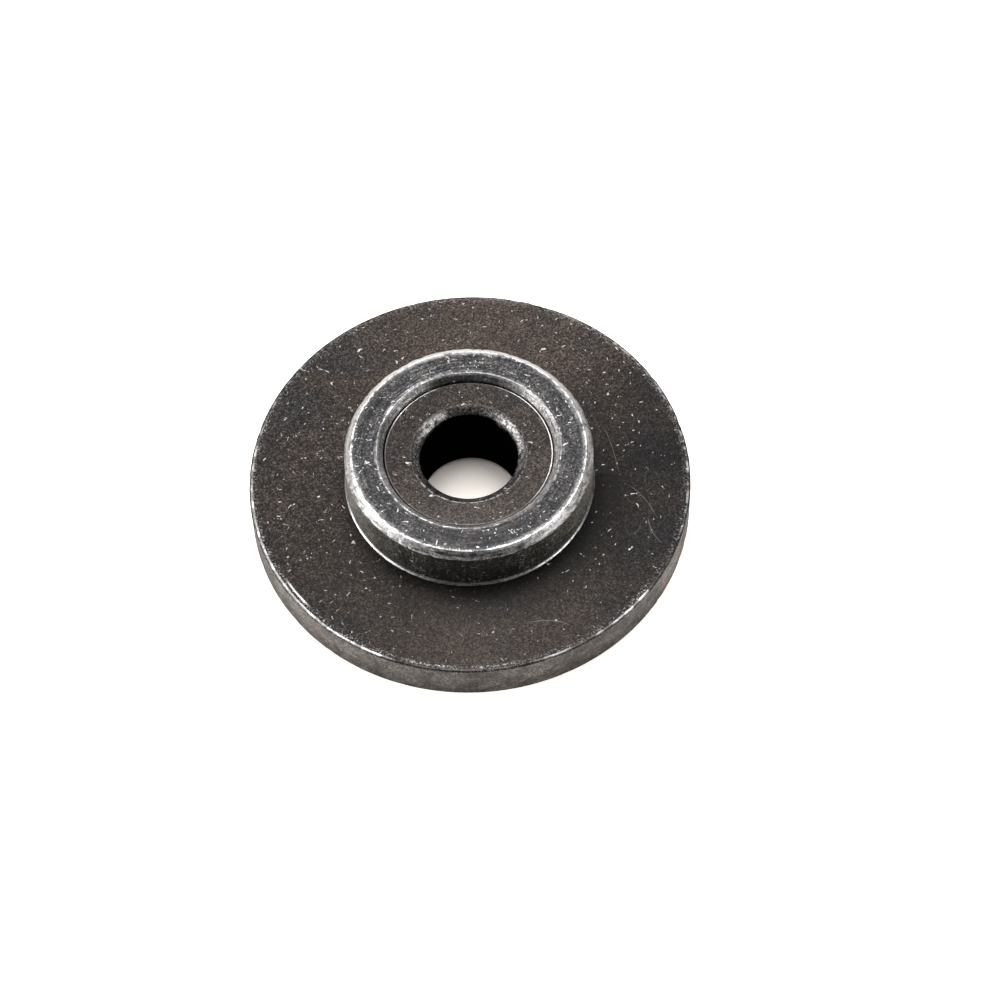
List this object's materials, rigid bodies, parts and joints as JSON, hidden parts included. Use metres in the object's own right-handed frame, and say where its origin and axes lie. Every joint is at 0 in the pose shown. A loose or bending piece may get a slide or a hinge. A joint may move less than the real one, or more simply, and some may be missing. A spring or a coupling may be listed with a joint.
{
  "type": "flanged roller wheel",
  "caption": "Flanged steel roller wheel: a thin disc flange on a raised, chamfered hub collar that turns on a plain inner sleeve with a through bore.",
  "frame": {"origin": "centre of the wheel's underside, on the bore's axis", "axes": "+Z along the bore's axis, from the flange towards the hub's face; X and Y lie in the flange's plane"},
  "size_m": [0.0422, 0.0422, 0.0093],
  "materials": {
    "oxide_disc": "matt black oxide, grainy, worn bright along the edge",
    "turned_hub": "turned, thin blue-grey oxide, worn silver on the chamfer",
    "sleeve": "matt black oxide, worn bright at the bore's mouth"
  },
  "bodies": {
    "sleeve": {"bearing_sleeve": "sleeve"},
    "roller": {"hub_collar": "turned_hub", "flange_disc": "oxide_disc"}
  },
  "joints": [
    {"name": "roller_spin", "type": "hinge", "parent": "sleeve", "child": "roller", "pos_m": [0, 0, 0], "axis": [0, 0, 1], "continuous": true}
  ]
}
